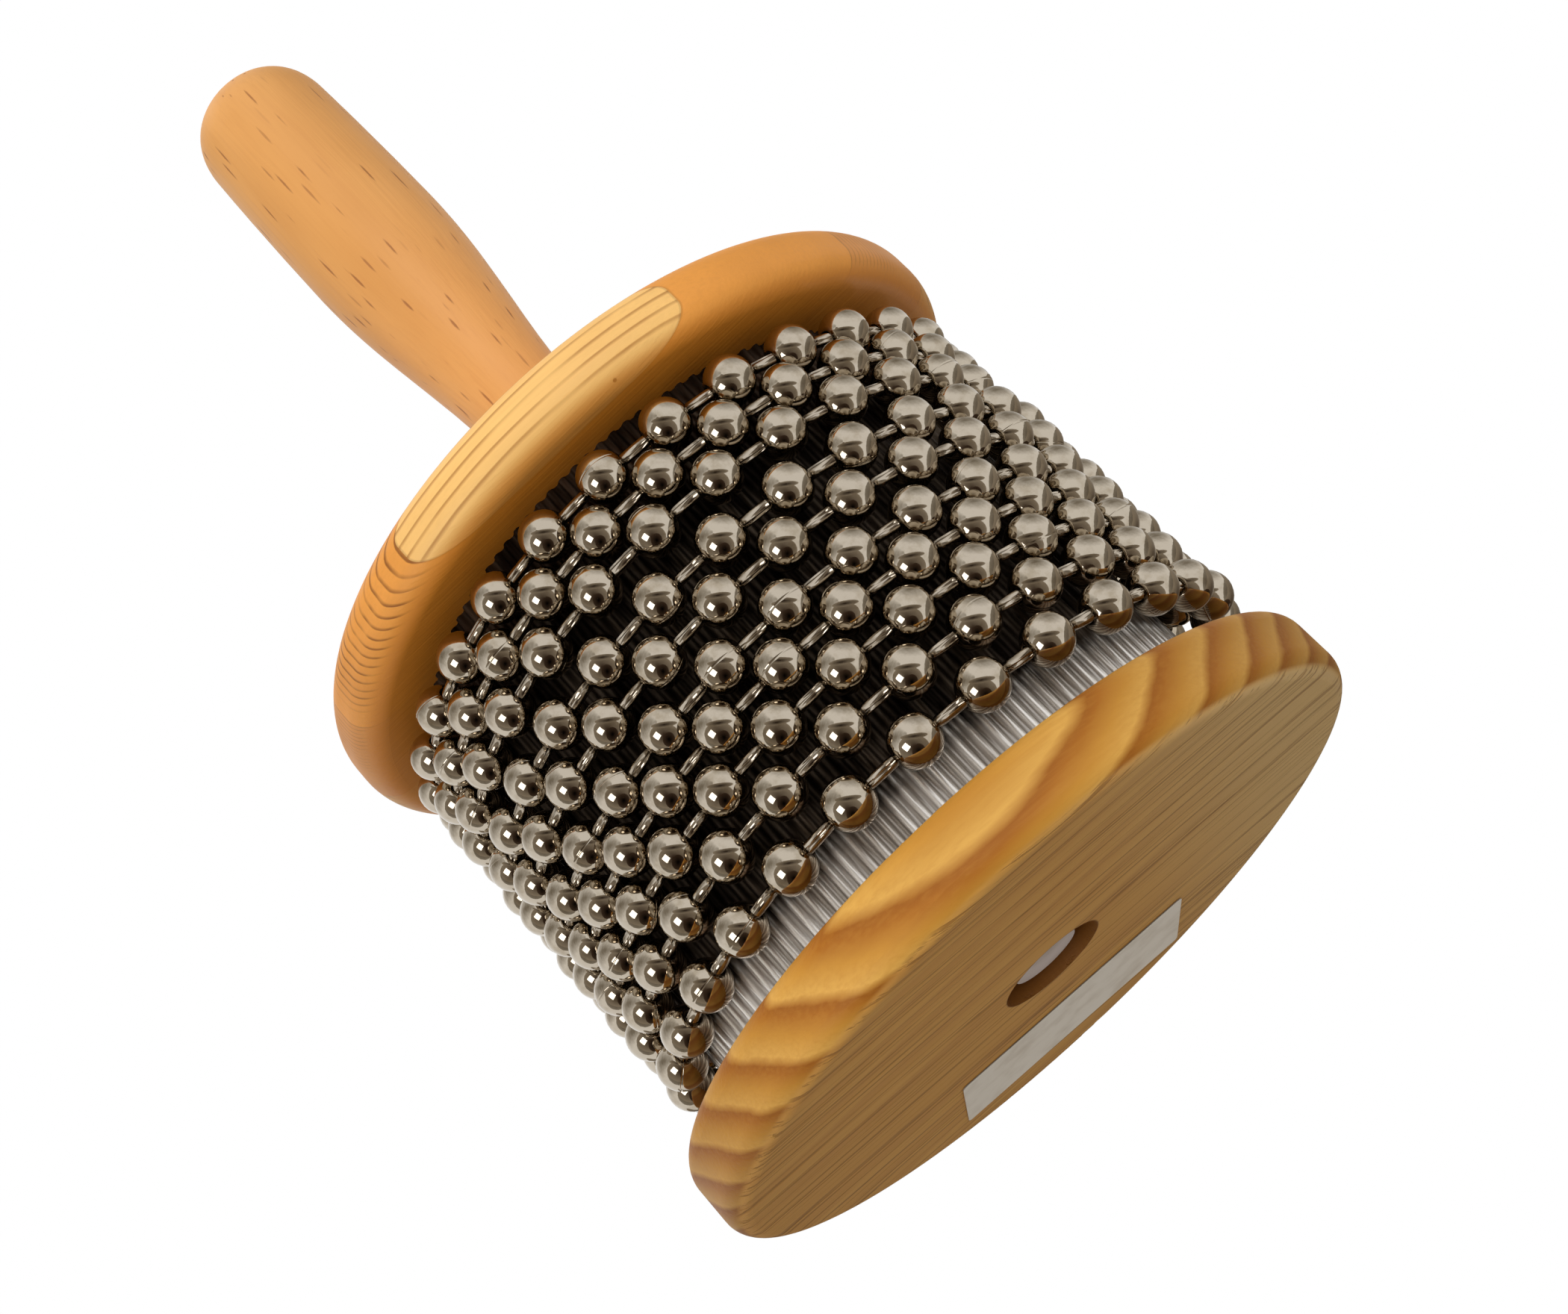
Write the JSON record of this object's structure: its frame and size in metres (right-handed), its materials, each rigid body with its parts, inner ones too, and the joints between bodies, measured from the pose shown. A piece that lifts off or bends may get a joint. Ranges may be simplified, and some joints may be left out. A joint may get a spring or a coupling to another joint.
{
  "type": "cabasa",
  "caption": "Hand percussion cabasa: wooden drum wrapped in corrugated steel, ringed by turning ball-chain loops between two wooden discs, with a turned handle.",
  "frame": {"origin": "centre of the end disc's flat outer face, on which the part stands", "axes": "+Z along the drum's axis towards the handle; +X along the glue lines of the handle disc; -Y towards the side that the picture shows"},
  "size_m": [0.098, 0.098, 0.172],
  "materials": {
    "end_disc_pine": "satin lacquer over flat-sawn pine",
    "handle_disc_wood": "satin lacquer over edge-glued staves",
    "handle_beech": "satin lacquer over beech",
    "core_wood": "raw sawn wood",
    "corrugated_steel": "rolled sheet, semi-bright",
    "bead_plating": "polished nickel plating",
    "link_plating": "polished nickel plating",
    "screw_steel": "zinc-plated",
    "tack_steel": "bright steel"
  },
  "bodies": {
    "drum": {"end_disc": "end_disc_pine", "drum_core": "core_wood", "steel_sleeve": "corrugated_steel", "sleeve_tacks": "tack_steel", "handle": "handle_beech", "assembly_screw": "screw_steel", "handle_disc_stave_1": "handle_disc_wood", "handle_disc_stave_2": "handle_disc_wood", "handle_disc_stave_3": "handle_disc_wood", "handle_disc_stave_4": "handle_disc_wood", "handle_disc_stave_5": "handle_disc_wood", "handle_disc_stave_6": "handle_disc_wood"},
    "chain_loop_01": {"chain_loop_01_beads": "bead_plating", "chain_loop_01_links": "link_plating"},
    "chain_loop_02": {"chain_loop_02_beads": "bead_plating", "chain_loop_02_links": "link_plating"},
    "chain_loop_03": {"chain_loop_03_beads": "bead_plating", "chain_loop_03_links": "link_plating"},
    "chain_loop_04": {"chain_loop_04_beads": "bead_plating", "chain_loop_04_links": "link_plating"},
    "chain_loop_05": {"chain_loop_05_beads": "bead_plating", "chain_loop_05_links": "link_plating"},
    "chain_loop_06": {"chain_loop_06_beads": "bead_plating", "chain_loop_06_links": "link_plating"},
    "chain_loop_07": {"chain_loop_07_beads": "bead_plating", "chain_loop_07_links": "link_plating"},
    "chain_loop_08": {"chain_loop_08_beads": "bead_plating", "chain_loop_08_links": "link_plating"},
    "chain_loop_09": {"chain_loop_09_beads": "bead_plating", "chain_loop_09_links": "link_plating"},
    "chain_loop_10": {"chain_loop_10_beads": "bead_plating", "chain_loop_10_links": "link_plating"}
  },
  "joints": [
    {"name": "chain_loop_01_turn", "type": "hinge", "parent": "drum", "child": "chain_loop_01", "pos_m": [0.00042, 0.00042, 0.06703], "axis": [0, 0, 1], "continuous": true},
    {"name": "chain_loop_02_turn", "type": "hinge", "parent": "drum", "child": "chain_loop_02", "pos_m": [0.00042, 0.00042, 0.06246], "axis": [0, 0, 1], "continuous": true},
    {"name": "chain_loop_03_turn", "type": "hinge", "parent": "drum", "child": "chain_loop_03", "pos_m": [0.00042, 0.00042, 0.05775], "axis": [0, 0, 1], "continuous": true},
    {"name": "chain_loop_04_turn", "type": "hinge", "parent": "drum", "child": "chain_loop_04", "pos_m": [0.00085, 0.00085, 0.05125], "axis": [0, 0, 1], "continuous": true},
    {"name": "chain_loop_05_turn", "type": "hinge", "parent": "drum", "child": "chain_loop_05", "pos_m": [0.00085, 0.00085, 0.04604], "axis": [0, 0, 1], "continuous": true},
    {"name": "chain_loop_06_turn", "type": "hinge", "parent": "drum", "child": "chain_loop_06", "pos_m": [0.00085, 0.00085, 0.04022], "axis": [0, 0, 1], "continuous": true},
    {"name": "chain_loop_07_turn", "type": "hinge", "parent": "drum", "child": "chain_loop_07", "pos_m": [0.00085, 0.00085, 0.03541], "axis": [0, 0, 1], "continuous": true},
    {"name": "chain_loop_08_turn", "type": "hinge", "parent": "drum", "child": "chain_loop_08", "pos_m": [0.00085, 0.00085, 0.03051], "axis": [0, 0, 1], "continuous": true},
    {"name": "chain_loop_09_turn", "type": "hinge", "parent": "drum", "child": "chain_loop_09", "pos_m": [0.00085, 0.00085, 0.0252], "axis": [0, 0, 1], "continuous": true},
    {"name": "chain_loop_10_turn", "type": "hinge", "parent": "drum", "child": "chain_loop_10", "pos_m": [0.0012, 0.0012, 0.0187], "axis": [0, 0, 1], "continuous": true}
  ],
  "couplings": [
    {"joint": "chain_loop_02_turn", "follows": "chain_loop_01_turn", "ratio": 1},
    {"joint": "chain_loop_03_turn", "follows": "chain_loop_01_turn", "ratio": 1},
    {"joint": "chain_loop_05_turn", "follows": "chain_loop_04_turn", "ratio": 1},
    {"joint": "chain_loop_06_turn", "follows": "chain_loop_04_turn", "ratio": 1},
    {"joint": "chain_loop_07_turn", "follows": "chain_loop_04_turn", "ratio": 1},
    {"joint": "chain_loop_08_turn", "follows": "chain_loop_04_turn", "ratio": 1},
    {"joint": "chain_loop_09_turn", "follows": "chain_loop_04_turn", "ratio": 1}
  ]
}
